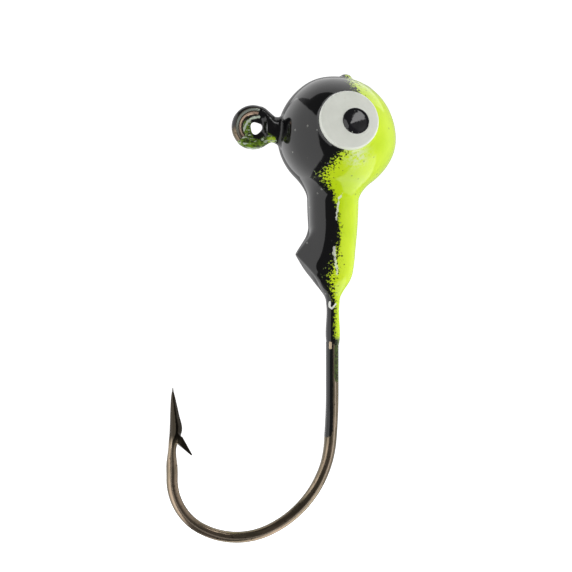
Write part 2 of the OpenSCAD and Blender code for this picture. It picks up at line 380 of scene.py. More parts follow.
def tie_field(points):
    """The paint on the line tie: a film on its wire, a web round a small hole, and the neck to the ball."""
    x, y, z = points[..., 0], points[..., 1], points[..., 2]
    from_middle = np.hypot(x - RING_X, z)
    around = np.degrees(np.arctan2(z, x - RING_X))
    from_bare = np.abs((around - TIE_BARE_WAY + 180) % 360 - 180)
    bare = smooth_curve(from_bare, TIE_BARE)
    ring = np.hypot(from_middle - RING_R, y) - WIRE_R - TIE_FILM + TIE_BARE_SINK * bare
    across, up = x - TIE_HOLE[0], (z - TIE_HOLE[1]) * TIE_HOLE_WIDTH
    ragged = TIE_RAGGED * np.sin(3 * np.arctan2(up, across) + 1.0)
    web = np.maximum(TIE_HOLE_R + ragged - np.hypot(across, up), from_middle - RING_R)
    web = round_overlap(web, np.abs(y) - TIE_WEB_T, 0.08)
    ring = round_union(ring, web, 0.14)
    height, middle = smooth_curve(x, NECK_HALF_H), smooth_curve(x, NECK_MIDDLE)
    neck = (np.hypot(y / NECK_HALF_W, (z - middle) / height) - 1) * NECK_HALF_W
    neck = np.maximum(neck, np.maximum(NECK_START - x, x - NECK_END))
    ring = round_union(ring, neck, 0.2)
    ball = np.sqrt(((points - BALL) ** 2).sum(-1)) - BALL_R + TIE_BALL_SINK
    return round_union(ring, ball, 0.22)


# ---------- meshes ----------


def gradient(field, points, reach=0.004):
    """The way straight out of a field at each point."""
    steps = np.eye(3) * reach
    slope = np.stack([field(points + step) - field(points - step) for step in steps], -1)
    return slope / np.maximum(np.linalg.norm(slope, axis=-1, keepdims=True), 1e-12)


def settle(field, points, rounds=3):
    """Points moved onto a field's surface."""
    for _ in range(rounds):
        points = points - gradient(field, points) * field(points)[:, None]
    return points


def surface(field, low, high, step):
    """The surface of a field as even quads: one vertex for each grid cell that it passes through."""
    axes = [np.arange(a, b + step, step) for a, b in zip(low, high)]
    grid = np.stack(np.meshgrid(*axes, indexing="ij"), -1)
    inside = np.empty(grid.shape[:3], bool)
    for i in range(len(axes[0])):
        inside[i] = field(grid[i]) < 0
    size = np.array(inside.shape) - 1
    corners = sum(
        inside[i : i + size[0], j : j + size[1], k : k + size[2]].astype(np.int8)
        for i in (0, 1) for j in (0, 1) for k in (0, 1)
    )
    mixed = (corners > 0) & (corners < 8)
    number = np.full(mixed.shape, -1)
    number[mixed] = np.arange(mixed.sum())
    points = grid[:-1, :-1, :-1][mixed] + step / 2
    quads = []
    for axis in range(3):
        a, b = np.delete(np.arange(3), axis)
        first = np.moveaxis(inside, axis, 0)
        change = np.argwhere(first[1:] != first[:-1])
        at = np.empty_like(change)
        at[:, axis], at[:, a], at[:, b] = change[:, 0], change[:, 1], change[:, 2]
        at = at[(at[:, a] > 0) & (at[:, b] > 0) & (at[:, a] < size[a]) & (at[:, b] < size[b])]
        ring = []
        for back_a, back_b in ((1, 1), (0, 1), (0, 0), (1, 0)):
            cell = at.copy()
            cell[:, a] -= back_a
            cell[:, b] -= back_b
            ring.append(number[tuple(cell.T)])
        ring = np.stack(ring, -1)
        flip = inside[tuple(at.T)] != (axis == 1)
        quads.append(np.where(flip[:, None], ring, ring[:, ::-1]))
    quads = np.concatenate(quads)
    points = settle(field, points, 2)
    for _ in range(4):
        points = settle(field, relax(points, quads), 2)
    return points, quads


def relax(points, quads):
    """Each point moved to the middle of its neighbours."""
    total, count = np.zeros_like(points), np.zeros(len(points))
    for turn in (1, 3):
        ahead = np.roll(quads, turn, 1)
        for axis in range(3):
            total[:, axis] += np.bincount(quads.ravel(), points[ahead.ravel(), axis], len(points))
        count += np.bincount(quads.ravel(), minlength=len(points))
    return total / np.maximum(count, 1)[:, None]


def make(name, points, faces, normals=None, **values):
    """A mesh object from points in millimetres, with a value or a vector for each point under each name."""
    mesh = bpy.data.meshes.new(name)
    mesh.from_pydata((np.asarray(points) * MM).tolist(), [], [tuple(face) for face in faces])
    mesh.shade_smooth()
    for key, value in values.items():
        if np.ndim(value) == 2:
            mesh.attributes.new(key, "FLOAT_VECTOR", "POINT").data.foreach_set("vector", np.ravel(value))
        else:
            mesh.attributes.new(key, "FLOAT", "POINT").data.foreach_set("value", value)
    if normals is not None:
        mesh.normals_split_custom_set_from_vertices(normals.tolist())
    piece = bpy.data.objects.new(name, mesh)
    bpy.context.collection.objects.link(piece)
    return piece


def shell(points, quads, normals, outer, inner):
    """A closed coat between two depths under a surface, with the normals of both its sides."""
    used, local = np.unique(quads, return_inverse=True)
    faces = local.reshape(quads.shape)
    count = len(used)
    edges = np.stack([faces, np.roll(faces, -1, 1)], -1).reshape(-1, 2)
    keys = edges[:, 0] * count + edges[:, 1]
    rim = edges[~np.isin(keys, edges[:, 1] * count + edges[:, 0])]
    rim_faces = np.stack([rim[:, 1], rim[:, 0], rim[:, 0] + count, rim[:, 1] + count], -1)
    base, out = points[used], normals[used]
    both = np.concatenate([base - out * outer, base - out * inner])
    all_faces = np.concatenate([faces, faces[:, ::-1] + count, rim_faces])
    return both, all_faces, np.concatenate([out, -out]), used


def lathe(profile, turns):
    """A turned shape about Z, from (radius, height) points that start and end on the axis."""
    angle = np.arange(turns) * 2 * math.pi / turns
    radii, heights = np.array(profile[1:-1]).T
    rings = np.stack([
        np.outer(radii, np.cos(angle)), np.outer(radii, np.sin(angle)), np.outer(heights, np.ones(turns))
    ], -1).reshape(-1, 3)
    points = np.concatenate([rings, [[0, 0, profile[0][1]], [0, 0, profile[-1][1]]]])
    faces = []
    for row in range(len(radii) - 1):
        for i in range(turns):
            j = (i + 1) % turns
            faces.append((row * turns + i, (row + 1) * turns + i, (row + 1) * turns + j, row * turns + j))
    top, last = len(rings), (len(radii) - 1) * turns
    for i in range(turns):
        j = (i + 1) % turns
        faces.append((top, i, j))
        faces.append((top + 1, last + j, last + i))
    return points, faces


def corner(centre, radius, start, end, count=8):
    """Points of a rounded corner in a profile."""
    return [
        (centre[0] + radius * math.cos(math.radians(a)), centre[1] + radius * math.sin(math.radians(a)))
        for a in np.linspace(start, end, count)
    ]


# ---------- materials ----------


class Nodes:
    """A node tree built by name: socket values are numbers, colours or other sockets."""

    def __init__(self, tree):
        self.tree = tree

    def set(self, node, values):
        for key, value in values.items():
            socket = node.inputs[key if isinstance(key, int) else key.replace("_", " ")]
            if isinstance(value, bpy.types.NodeSocket):
                self.tree.links.new(value, socket)
            elif isinstance(value, (tuple, list)) and len(value) == 3 and socket.type == "RGBA":
                socket.default_value = (*value, 1)
            else:
                socket.default_value = value

    def node(self, kind, values=None, **settings):
        made = self.tree.nodes.new("ShaderNode" + kind)
        for key, value in settings.items():
            setattr(made, key, value)
        self.set(made, values or {})
        return made

    def place(self):
        return self.node("TexCoord").outputs["Object"]

    def part(self, vector, axis):
        return self.node("SeparateXYZ", {0: vector}).outputs[axis]

    def scaled(self, vector, size):
        return self.vector("MULTIPLY", vector, size)

    def noise(self, vector, per_mm, detail=2.0, rough=0.5):
        values = {"Vector": vector, "Scale": per_mm / MM, "Detail": detail, "Roughness": rough}
        return self.node("TexNoise", values).outputs["Fac"]

    def value(self, name):
        return self.node("Attribute", attribute_name=name).outputs["Fac"]

    def math(self, operation, *values):
        return self.node("Math", dict(enumerate(values)), operation=operation).outputs[0]

    def vector(self, operation, *values, output="Vector"):
        return self.node("VectorMath", dict(enumerate(values)), operation=operation).outputs[output]

    def ramp(self, value, low, high):
        """0 below low and 1 above high, smooth between; low may be above high."""
        values = {"Value": value, "From Min": low, "From Max": high}
        return self.node("MapRange", values, interpolation_type="SMOOTHSTEP").outputs["Result"]

    def mix(self, factor, a, b):
        return self.node("Mix", {0: factor, 6: a, 7: b}, data_type="RGBA").outputs[2]

    def bump(self, height, depth_mm):
        return self.node("Bump", {"Height": height, "Strength": 1.0, "Distance": depth_mm * MM}).outputs[0]

    def dots(self, vector, per_mm, radius, softness, share=None):
        """Round specks in the cells of a grid of that pitch, in a share of the cells or in all of them."""
        cells = self.node("TexVoronoi", {"Vector": vector, "Scale": per_mm / MM})
        dot = self.ramp(cells.outputs["Distance"], radius, radius - softness)
        if share is None:
            return dot
        chance = self.node("SeparateColor", {"Color": cells.outputs["Color"]}).outputs[0]
        return self.math("MULTIPLY", dot, self.ramp(chance, *share))

    def from_line(self, place, corners):
        """How far the surface lies, seen from the side, from a line through places given as (x, z)."""
        flat = self.scaled(place, (1.0, 0.0, 1.0))
        nearest = None
        for (x0, z0), (x1, z1) in zip(corners, corners[1:]):
            run = Vector((x1 - x0, 0, z1 - z0)) * MM
            start = Vector((x0, 0, z0)) * MM
            beyond = self.vector("SUBTRACT", flat, start)
            along = self.vector("DOT_PRODUCT", beyond, run / run.length_squared, output="Value")
            along = self.math("MINIMUM", self.math("MAXIMUM", along, 0.0), 1.0)
            near = self.node("VectorMath", {0: run, "Scale": along}, operation="SCALE").outputs[0]
            distance = self.vector("DISTANCE", beyond, near, output="Value")
            nearest = distance if nearest is None else self.math("MINIMUM", nearest, distance)
        return nearest

    def stripe(self, outside, middle, half, core):
        """A line along the wire, full strength over the core of its width."""
        off = self.math("ABSOLUTE", self.math("SUBTRACT", outside, middle * MM))
        return self.ramp(off, half * MM, half * core * MM)

    def on_right(self, place):
        """1 on the right of the lure and 0 on its left."""
        return self.ramp(self.part(place, "Y"), 0.0, -0.1 * MM)


class Paint(Nodes):
    """A material made of nodes."""

    def __init__(self, name, **shader):
        self.material = bpy.data.materials.new(name)
        self.material.use_nodes = True
        super().__init__(self.material.node_tree)
        self.tree.nodes.clear()
        self.shader = self.node("BsdfPrincipled", shader)
        self.node("OutputMaterial", {"Surface": self.shader.outputs[0]})

    def finish(self, **values):
        self.set(self.shader, values)
        return self.material


BLACK = (0.004, 0.004, 0.0045)
WHITE = (0.80, 0.82, 0.76)
WHITE_SHADE = (0.74, 0.76, 0.70)
CHARTREUSE = (0.60, 0.79, 0.016)
CHARTREUSE_DEEP = (0.53, 0.735, 0.006)
CHARTREUSE_PALE = (0.74, 0.82, 0.56)  # paler patches in the chartreuse
CHARTREUSE_THIN = (0.12, 0.17, 0.05)  # thin over black or bare wire
GREEN_SPECK = (0.16, 0.24, 0.02)
GREY_SPECK = (0.5, 0.5, 0.46)

TIE_GREEN_DARK = (0.03, 0.045, 0.008)
TIE_GREEN = (0.17, 0.30, 0.015)
TIE_LIME = (0.42, 0.62, 0.02)
TIE_STREAK = (0.50, 0.58, 0.44)
TIE_RUN = (0.60, 0.68, 0.56)

BRONZE_DARK = (0.25, 0.205, 0.14)
BRONZE_LIGHT = (0.38, 0.29, 0.21)
BRONZE_BAND = (0.13, 0.105, 0.07)
BRONZE_GRAIN = (0.50, 0.40, 0.30)
BRONZE_PIT = (0.10, 0.075, 0.05)
GROUND_STEEL = (0.032, 0.027, 0.02)
STAIN_DARK = (0.03, 0.03, 0.012)
STAIN_GREEN = (0.07, 0.11, 0.02)
CHIP_BRONZE_HIGHLIGHT = (0.62, 0.49, 0.33)

EYE_SHADE = (0.74, 0.76, 0.69)
EYE_LIGHT = (0.79, 0.81, 0.74)
EYE_WARM = (0.84, 0.81, 0.74)
EYE_SPECK = (0.66, 0.52, 0.46)
EYE_RING_PITCH = 0.26  # from one stamped ring to the next
PUPIL_BLACK = (0.006, 0.006, 0.008)
PUPIL_DUST = (0.30, 0.32, 0.28)
LEAD_DARK = (0.16, 0.165, 0.18)
LEAD_LIGHT = (0.30, 0.31, 0.33)

# Marks on the paint, painted highlights among them, as lines of (x, z)
WHITE_HIGHLIGHT_STREAKS = [  # painted highlights: white streaks along the line between the colours, with half their width and how strong they are
    ([(5.64, -4.45), (5.42, -4.8), (5.34, -5.4), (5.24, -6.15)], 0.075, 0.75),
    ([(5.11, -8.05), (5.22, -8.8), (5.42, -9.8)], 0.10, 0.65),
]
TICK_HIGHLIGHT = [(5.14, -11.68), (5.14, -12.0), (5.27, -12.13), (5.52, -11.84)]  # a painted highlight: a small white tick on the shank's paint
CHIP = [(5.18, -14.42), (5.18, -14.76)]  # bare bronze in the run of black below it, coloured light and matt as a painted highlight
PALE_RUN = [(0.27, 0.66), (-0.09, 0.60), (-0.46, 0.38), (-0.68, -0.10), (-0.90, -0.58)]  # round the line tie

# Painted light along the wire: two dark lines of painted shade at its edges and one bright painted highlight;
# for each, how far outside its middle, half width, strength, how unlike metal, and colour
WIRE_SHADE_AND_HIGHLIGHT_LINES = [
    (0.42, 0.15, 0.85, 0.0, (0.075, 0.065, 0.045)),
    (-0.42, 0.15, 0.85, 0.0, (0.075, 0.065, 0.045)),
    (0.12, 0.055, 0.6, 0.25, (0.80, 0.66, 0.52)),
]
# Painted reflections on the bare top of the line tie's ring, at full strength: a pale band, a peach highlight
# and a dark band of painted shade, each as how far outside its middle, half width and colour
RING_REFLECTION_LINES = [
    (0.09, 0.10, (0.50, 0.56, 0.49)),
    (-0.14, 0.10, (0.80, 0.56, 0.42)),
    (-0.32, 0.08, (0.06, 0.045, 0.04)),
]
RING_REFLECTION_DULL = 0.35


def topcoat_paint():
    """Black and chartreuse enamel, sprayed over each other along a ragged line, with painted white highlights
    along it and a painted white tick on the shank.
    """
    paint = Paint("two_tone_enamel", Specular_IOR_Level=0.5)
    place = paint.place()
    tone = paint.value("tone")
    coarse = paint.math("SUBTRACT", paint.noise(place, 1.6, 3, 0.6), 0.5)
    fine = paint.math("SUBTRACT", paint.noise(place, 5.0, 2.5, 0.6), 0.5)
    dust = paint.math("SUBTRACT", paint.noise(place, 9.0, 1, 0.5), 0.5)
    ragged = paint.math("MULTIPLY_ADD", fine, 6.0, coarse)
    ragged = paint.math("MULTIPLY_ADD", dust, 4.0, ragged)
    sprayed = paint.math("ADD", tone, paint.math("MULTIPLY", ragged, paint.value("spray")))
    belly = paint.ramp(sprayed, -0.14, 0.14)
    deep = paint.ramp(paint.noise(place, 0.35, 2), 0.35, 0.65)
    yellow = paint.mix(deep, CHARTREUSE_DEEP, CHARTREUSE)
    cloudy = paint.ramp(paint.noise(place, 4.0, 3, 0.7), 0.35, 0.6)
    yellow = paint.mix(paint.math("MULTIPLY", paint.value("haze"), cloudy), yellow, CHARTREUSE_PALE)
    dot = paint.dots(place, 1.6, 0.15, 0.08, share=(0.5, 0.55))
    yellow = paint.mix(paint.math("MULTIPLY", dot, 0.6), yellow, GREEN_SPECK)
    dark = paint.mix(paint.math("MULTIPLY", dot, 0.3), BLACK, GREY_SPECK)
    above_end = paint.ramp(paint.part(place, "Z"), -14.3 * MM, -13.9 * MM)
    thick = paint.math("MULTIPLY", paint.ramp(tone, -0.7, 0.1), above_end)
    colour = paint.mix(belly, dark, paint.mix(thick, CHARTREUSE_THIN, yellow))
    # painted highlights: white streaks along the line between the colours
    for corners, half, bare in WHITE_HIGHLIGHT_STREAKS:
        frayed = paint.math("MULTIPLY_ADD", fine, -0.45 * MM, paint.from_line(place, corners))
        streak = paint.ramp(frayed, half * MM, half * 0.4 * MM)
        colour = paint.mix(paint.math("MULTIPLY", streak, bare), colour, WHITE)
    # painted highlight: a small white tick on the shank's paint, on the right side
    frayed = paint.math("MULTIPLY_ADD", fine, -0.06 * MM, paint.from_line(place, TICK_HIGHLIGHT))
    tick_highlight = paint.math("MULTIPLY", paint.ramp(frayed, 0.07 * MM, 0.045 * MM), paint.on_right(place))
    colour = paint.mix(tick_highlight, colour, WHITE)
    return paint.finish(
        Base_Color=colour,
        Roughness=paint.math("MULTIPLY_ADD", paint.noise(place, 2.0, 2), 0.08, 0.04),
        Normal=paint.bump(paint.math("MULTIPLY_ADD", belly, 0.1, paint.noise(place, 0.5, 2)), 0.03),
    )


def tie_paint():
    """Black, green and pale streaks mixed wet on the line tie."""
    paint = Paint("mixed_enamel", Specular_IOR_Level=0.5)
    place = paint.place()
    mottle = paint.math("SUBTRACT", paint.noise(place, 2.6, 3, 0.65), 0.5)
    edge = paint.math("MULTIPLY_ADD", mottle, 3.0, paint.value("tone"))
    fine = paint.noise(place, 4.0, 3, 0.6)
    green = paint.mix(paint.ramp(fine, 0.35, 0.65), TIE_GREEN_DARK, TIE_GREEN)
    green = paint.mix(paint.ramp(paint.value("lime"), 0.3, 0.7), green, TIE_LIME)
    colour = paint.mix(paint.ramp(edge, -0.3, 0.3), BLACK, green)
    streak = paint.ramp(paint.noise(paint.scaled(place, (0.35, 1.0, 1.0)), 6.0, 2), 0.55, 0.66)
    colour = paint.mix(paint.math("MULTIPLY", streak, paint.ramp(edge, -0.3, 0.2)), colour, TIE_STREAK)
    frayed = paint.math("SUBTRACT", fine, 0.5)
    frayed = paint.math("MULTIPLY_ADD", frayed, 0.25 * MM, paint.from_line(place, PALE_RUN))
    colour = paint.mix(paint.ramp(frayed, 0.11 * MM, 0.04 * MM), colour, TIE_RUN)
    normal = paint.bump(paint.noise(place, 2.2, 2), 0.04)
    return paint.finish(Base_Color=colour, Roughness=0.12, Normal=normal)


def wire_finish():
    """Bronzed wire, drawn along its length and tarnished, with painted shade along its edges and round its
    ring, painted highlights and reflections, and black and green paint down the shank.
    """
    paint = Paint("bronzed_wire", Specular_IOR_Level=0.5)
    place = paint.place()
    drawn = paint.node("Attribute", attribute_name="along_wire").outputs["Vector"]
    outside = paint.part(drawn, "X")
    ring = paint.value("ring")
    cloud = paint.noise(place, 0.5, 3, 0.6)
    grain = paint.noise(paint.scaled(drawn, (1.0, 1.0, 0.08)), 8.0, 3, 0.6)
    band = paint.noise(paint.scaled(drawn, (1.0, 1.0, 0.07)), 2.6, 2, 0.5)
    speckle = paint.noise(place, 6.0, 2, 0.6)

    bronze = paint.mix(paint.ramp(cloud, 0.35, 0.65), BRONZE_DARK, BRONZE_LIGHT)
    bronze = paint.mix(paint.math("MULTIPLY", paint.ramp(band, 0.5, 0.62), 0.6), bronze, BRONZE_BAND)
    bronze = paint.mix(paint.math("MULTIPLY", paint.ramp(grain, 0.5, 0.7), 0.5), bronze, BRONZE_GRAIN)
    bronze = paint.mix(paint.ramp(speckle, 0.62, 0.7), bronze, BRONZE_PIT)
    wavy = paint.math("ADD", outside, paint.math("MULTIPLY_ADD", band, 0.1 * MM, -0.05 * MM))
    painted_light_matt = 0.0
    # painted shade along the wire's edges and a painted highlight, which is also made less like metal
    for middle, half, strength, unlike_metal, tint in WIRE_SHADE_AND_HIGHLIGHT_LINES:
        line = paint.math("MULTIPLY", paint.stripe(wavy, middle, half, 0.4), strength)
        bronze = paint.mix(line, bronze, tint)
        painted_light_matt = paint.math("MAXIMUM", painted_light_matt, paint.math("MULTIPLY", line, unlike_metal))
    # painted reflections and painted shade on the ring's bare top, made less like metal
    for middle, half, tint in RING_REFLECTION_LINES:
        line = paint.math("MULTIPLY", paint.stripe(outside, middle, half, 0.5), ring)
        bronze = paint.mix(line, bronze, tint)
        painted_light_matt = paint.math("MAXIMUM", painted_light_matt, paint.math("MULTIPLY", line, RING_REFLECTION_DULL))

    ground_start = LEG_ALONG + GROUND_FROM
    ground = paint.ramp(paint.part(drawn, "Z"), (ground_start - 0.4) * MM, (ground_start + 0.5) * MM)
    ground = paint.math("MAXIMUM", ground, paint.ramp(outside, -0.45 * MM, -0.55 * MM))
    bronze = paint.mix(paint.math("MULTIPLY", ground, 0.96), bronze, GROUND_STEEL)

    ragged = paint.math("MULTIPLY_ADD", speckle, 0.8, -0.4)
    stained = paint.ramp(paint.math("ADD", paint.value("stain"), ragged), 0.4, 0.6)
    green = paint.mix(paint.ramp(speckle, 0.4, 0.6), STAIN_DARK, STAIN_GREEN)
    film_and_painted_shade = paint.math("MULTIPLY_ADD", ragged, 0.5, paint.value("film"))
    film_and_painted_shade = paint.ramp(film_and_painted_shade, 0.45, 0.55)
    # painted shade: a black band along the outer edge of the ring's bare top, in place of a dark reflection
    outer = paint.math("MULTIPLY", paint.ramp(outside, 0.16 * MM, 0.22 * MM), paint.ramp(ring, 0.5, 0.9))
    film_and_painted_shade = paint.math("MAXIMUM", film_and_painted_shade, outer)
    colour = paint.mix(film_and_painted_shade, paint.mix(stained, bronze, green), BLACK)
    # a bare chip in the black run, its light matt colour a painted highlight in place of the bronze's
    # reflection
    chip_with_highlight = paint.math("MULTIPLY_ADD", grain, 0.05 * MM, paint.from_line(place, CHIP))
    chip_with_highlight = paint.math("MULTIPLY", paint.ramp(chip_with_highlight, 0.13 * MM, 0.10 * MM), paint.on_right(place))
    colour = paint.mix(chip_with_highlight, colour, CHIP_BRONZE_HIGHLIGHT)
    painted = paint.math("MAXIMUM", film_and_painted_shade, paint.math("MULTIPLY", stained, 0.7))
    painted = paint.math("MAXIMUM", painted, paint.math("MAXIMUM", painted_light_matt, chip_with_highlight))
    return paint.finish(
        Base_Color=colour,
        Metallic=paint.math("SUBTRACT", 1.0, painted),
        Roughness=paint.math("MULTIPLY_ADD", cloud, 0.14, 0.14),
        Normal=paint.bump(grain, 0.006),
    )


def eye_finish():
    """Pale enamel on the eye, with the faint rings of the pin that stamped it."""
    paint = Paint("eye_enamel", Specular_IOR_Level=0.4)
    place = paint.place()
    radius = paint.vector("LENGTH", paint.scaled(place, (1.0, 1.0, 0.0)), output="Value")
    rings = paint.math("SINE", paint.math("MULTIPLY", radius, 2 * math.pi / (EYE_RING_PITCH * MM)))
    shade = paint.ramp(paint.noise(place, 0.6, 3, 0.6), 0.35, 0.65)
    colour = paint.mix(shade, EYE_SHADE, EYE_LIGHT)
    colour = paint.mix(paint.math("MULTIPLY", paint.ramp(rings, 0.0, 1.0), 0.07), colour, EYE_WARM)
    colour = paint.mix(paint.math("MULTIPLY", paint.dots(place, 1.6, 0.10, 0.05), 0.25), colour, EYE_SPECK)
    normal = paint.bump(paint.math("MULTIPLY_ADD", rings, 0.4, paint.noise(place, 1.0, 2)), 0.004)
    return paint.finish(Base_Color=colour, Roughness=0.3, Normal=normal)


def pupil_finish():
    """A thick drop of black enamel with a little dust in it."""
    paint = Paint("pupil_enamel", Specular_IOR_Level=0.6)
    place = paint.place()
    colour = paint.mix(paint.dots(place, 3.4, 0.22, 0.10, share=(0.84, 0.86)), PUPIL_BLACK, PUPIL_DUST)
    normal = paint.bump(paint.noise(place, 1.6, 2), 0.01)
    return paint.finish(Base_Color=colour, Roughness=0.08, Normal=normal)


def undercoat_finish():
    """Flat white base coat."""
    paint = Paint("white_base_coat", Specular_IOR_Level=0.4)
    place = paint.place()
    colour = paint.mix(paint.ramp(paint.noise(place, 0.8, 3, 0.6), 0.3, 0.7), WHITE_SHADE, WHITE)
    normal = paint.bump(paint.noise(place, 3.0, 2), 0.01)
    return paint.finish(Base_Color=colour, Roughness=0.35, Normal=normal)


def lead_finish():
    """Dull lead as it comes from the mould."""
    paint = Paint("cast_lead", Metallic=0.8)
    cloud = paint.noise(paint.place(), 0.9, 4, 0.6)
    colour = paint.mix(paint.ramp(cloud, 0.35, 0.65), LEAD_DARK, LEAD_LIGHT)
    return paint.finish(Base_Color=colour, Roughness=0.55, Normal=paint.bump(cloud, 0.05))


# ---------- pieces ----------

# The line between the colours, as (z, x)
COLOUR_LINE = [
    (-14.9, 5.9), (-14.4, 5.65), (-13.9, 5.52), (-11.7, 5.5), (-11.3, 5.4), (-10.8, 5.18), (-10.4, 5.05),
    (-9.9, 5.02), (-9.2, 5.2), (-8.3, 5.36), (-7.66, 5.52), (-7.0, 5.52), (-6.1, 5.42), (-5.0, 5.22),
    (-4.4, 5.08), (-3.86, 4.6), (-3.07, 4.2), (-2.5, 4.6), (-1.85, 5.1), (-1.4, 5.5), (0.6, 6.3),
    (2.1, 6.6), (3.0, 6.35), (3.6, 6.45)
]
SPRAY = 0.14  # how widely the two colours are sprayed into each other
WIDE_SPRAY = [(0.55, -2.8, 1.1), (0.35, -9.6, 1.3), (0.35, 2.8, 1.0)]  # how much wider, at what height
# Where the chartreuse is paler, under each eye and beside the nose: the place on the right, and its reach
HAZE = [((6.25, -3.65, -1.95), 0.7), ((7.1, -0.9, 3.0), 1.0)]
HAZE_MOST = 0.9
TIE_GREEN_PLACES = [  # (x, z), reach, and how much greener
    (1.12, -0.88, 0.33, 2.4), (0.95, 0.95, 0.3, 1.9), (-0.3, 0.1, 0.3, 0.8), (0.13, -0.6, 0.28, -1.0)
]
TIE_LIME_PLACE = (1.12, -0.86)  # where the green is brightest
WIRE_SHOWS = -9  # the shank is inside the head above this height
BLACK_END = -21.2  # the heights to which black and thin green have run down the wire
STAIN_END = -17.4
RING_BARE_TO = 225  # how far round from the ball the ring's top is bare, and its fade, in degrees
RING_FADE = 60


def tone_of(points):
    """How far each point lies on the belly's side of the line between the colours."""
    return points[:, 0] - smooth_curve(points[:, 2], COLOUR_LINE)


def spray_of(points):
    """How widely the two colours are sprayed into each other."""
    return SPRAY + sum(wider * bump(points[:, 2], height, reach) for wider, height, reach in WIDE_SPRAY)


def haze_of(points):
    """Where the chartreuse is paler, the same on both sides."""
    right = np.stack([points[:, 0], -np.abs(points[:, 1]), points[:, 2]], -1)
    return sum(HAZE_MOST * bump(np.linalg.norm(right - place, axis=1), 0, reach) for place, reach in HAZE)


def film_of(points):
    """Where black paint lies on the wire, down the back of the shank."""
    x, y, z = points[:, 0] - SHANK_X, points[:, 1], points[:, 2]
    behind = np.clip(0.5 - (x / np.maximum(np.hypot(x, y), 0.01) + 0.2) * 1.5, 0, 1)
    return behind * np.clip(z - BLACK_END, 0, 1) * (z < WIRE_SHOWS) * (np.hypot(x, y) < 1)


def ring_of(points):
    """Where the wire is the bare top of the line tie's ring, fading round its left."""
    around = np.degrees(np.arctan2(points[:, 2], points[:, 0] - RING_X)) % 360
    return (points[:, 0] < 1.5) * (points[:, 2] > -2) * np.clip((RING_BARE_TO - around) / RING_FADE, 0, 1)


def stain_of(points):
    """Where thin green overspray has run down the wire below the paint."""
    x, z = points[:, 0] - SHANK_X, points[:, 2]
    return np.clip((z - STAIN_END) / 0.7, 0, 1) * (z < WIRE_SHOWS) * np.clip(0.5 + x * 4, 0, 1)


def keep(piece, material, slot, *nodes):
    """Gives a piece its material, puts it under the root body, and hides the CAD nodes that it stands for.
    slot is not used.
    """
    piece.data.materials.append(material)
    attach(piece, "root")
    if nodes:
        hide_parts(*nodes)


def build_coats():
    """The two topcoats, the white coat under both, and the lead under that."""
    step = 0.09
    low = np.array([1.7, -BALL_R - 0.3, -15.1])
    high = np.array([BALL[0] + BALL_R + 0.3, BALL_R + 0.3, BALL[2] + BALL_R + 0.4])
    points, quads = surface(head_field, low, high, step)
    normals = gradient(head_field, points)
    finish = topcoat_paint()
    belly = tone_of(points[quads].mean(1)) > 0
    paint_values = {"tone": tone_of(points), "spray": spray_of(points), "haze": haze_of(points)}
    for name, chosen, slot in (
        ("black_topcoat", ~belly, "black_paint"),
        ("chartreuse_topcoat", belly, "chartreuse_paint"),
    ):
        both, faces, out, used = shell(points, quads[chosen], normals, 0, COAT)
        values = {key: np.tile(value[used], 2) for key, value in paint_values.items()}
        keep(make(name + "_piece", both, faces, out, **values), finish, slot, name)
    both, faces, out, _ = shell(points, quads, normals, COAT, COAT * 2)
    keep(make("undercoat_piece", both, faces, out), undercoat_finish(), "white_paint", "white_undercoat")
    points, quads = surface(casting_field, low, high, step * 1.6)
    lead = make("lead_casting", points, quads, gradient(casting_field, points))
    keep(lead, lead_finish(), "lead", "lead_head")


def build_tie():
    """The paint on the line tie, cut off where it has sunk into the ball."""
    step = 0.045
    low, high = np.array([-1.8, -1.9, -2.0]), np.array([2.75, 1.9, 1.9])

    def clipped(points):
        across = np.hypot(points[..., 1], points[..., 2] + 0.1)
        return np.maximum(tie_field(points), np.maximum(points[..., 0] - 2.5, across - 1.7))

    points, quads = surface(clipped, low, high, step)
    x, z = points[:, 0], points[:, 2]
    tone = -(x * 0.9 + z) - 0.3
    for place_x, place_z, reach, greener in TIE_GREEN_PLACES:
        tone += greener * bump(np.hypot(x - place_x, z - place_z), 0, reach)
    lime = bump(np.hypot((x - TIE_LIME_PLACE[0]) / 1.5, z - TIE_LIME_PLACE[1]), 0, 0.24)
    tie = make("line_tie_paint", points, quads, gradient(clipped, points), tone=tone, lime=lime)
    keep(tie, tie_paint(), "black_paint")


def build_hook():
    """The wire, with the spear and barb at its point."""
    step = 0.055
    margin = 0.15
    points, quads = surface(hook_field, HOOK_LOW - margin, HOOK_HIGH + margin, step)
    values = {"film": film_of(points), "stain": stain_of(points), "ring": ring_of(points)}
    values["along_wire"] = wire_places(points) * MM
    hook = make("hook_piece", points, quads, gradient(hook_field, points), **values)
    keep(hook, wire_finish(), "hook_wire", "hook")


def eye_place(side):
    """An eye's own frame: Z out of the ball, X towards the belly."""
    axis = Vector(eye_axis(side))
    forward = Vector((1, 0, 0))
    across = axis.cross(forward)
    turn = Matrix((forward, across, axis)).transposed().to_4x4()
    return Matrix.Translation(Vector(BALL * MM)) @ turn


def eye_disc():
    """The pale disc: slightly domed, with a rounded edge and a hollow back that fits over the boss."""
    foot = math.sqrt(BALL_R**2 - EYE_R**2) - 0.03
    profile = [(0, EYE_FACE + 0.015), (1.0, EYE_FACE + 0.012), (1.7, EYE_FACE)]
    profile += corner((EYE_R - 0.14, EYE_FACE - 0.145), 0.14, 85, 0)
    profile += [(EYE_R, foot + 0.04), (EYE_R, foot), (EYE_R - 0.1, foot)]
    profile += [(EYE_R - 0.1, EYE_FACE - 0.1), (0, EYE_FACE - 0.1)]
    return lathe(profile, EYE_TURNS)


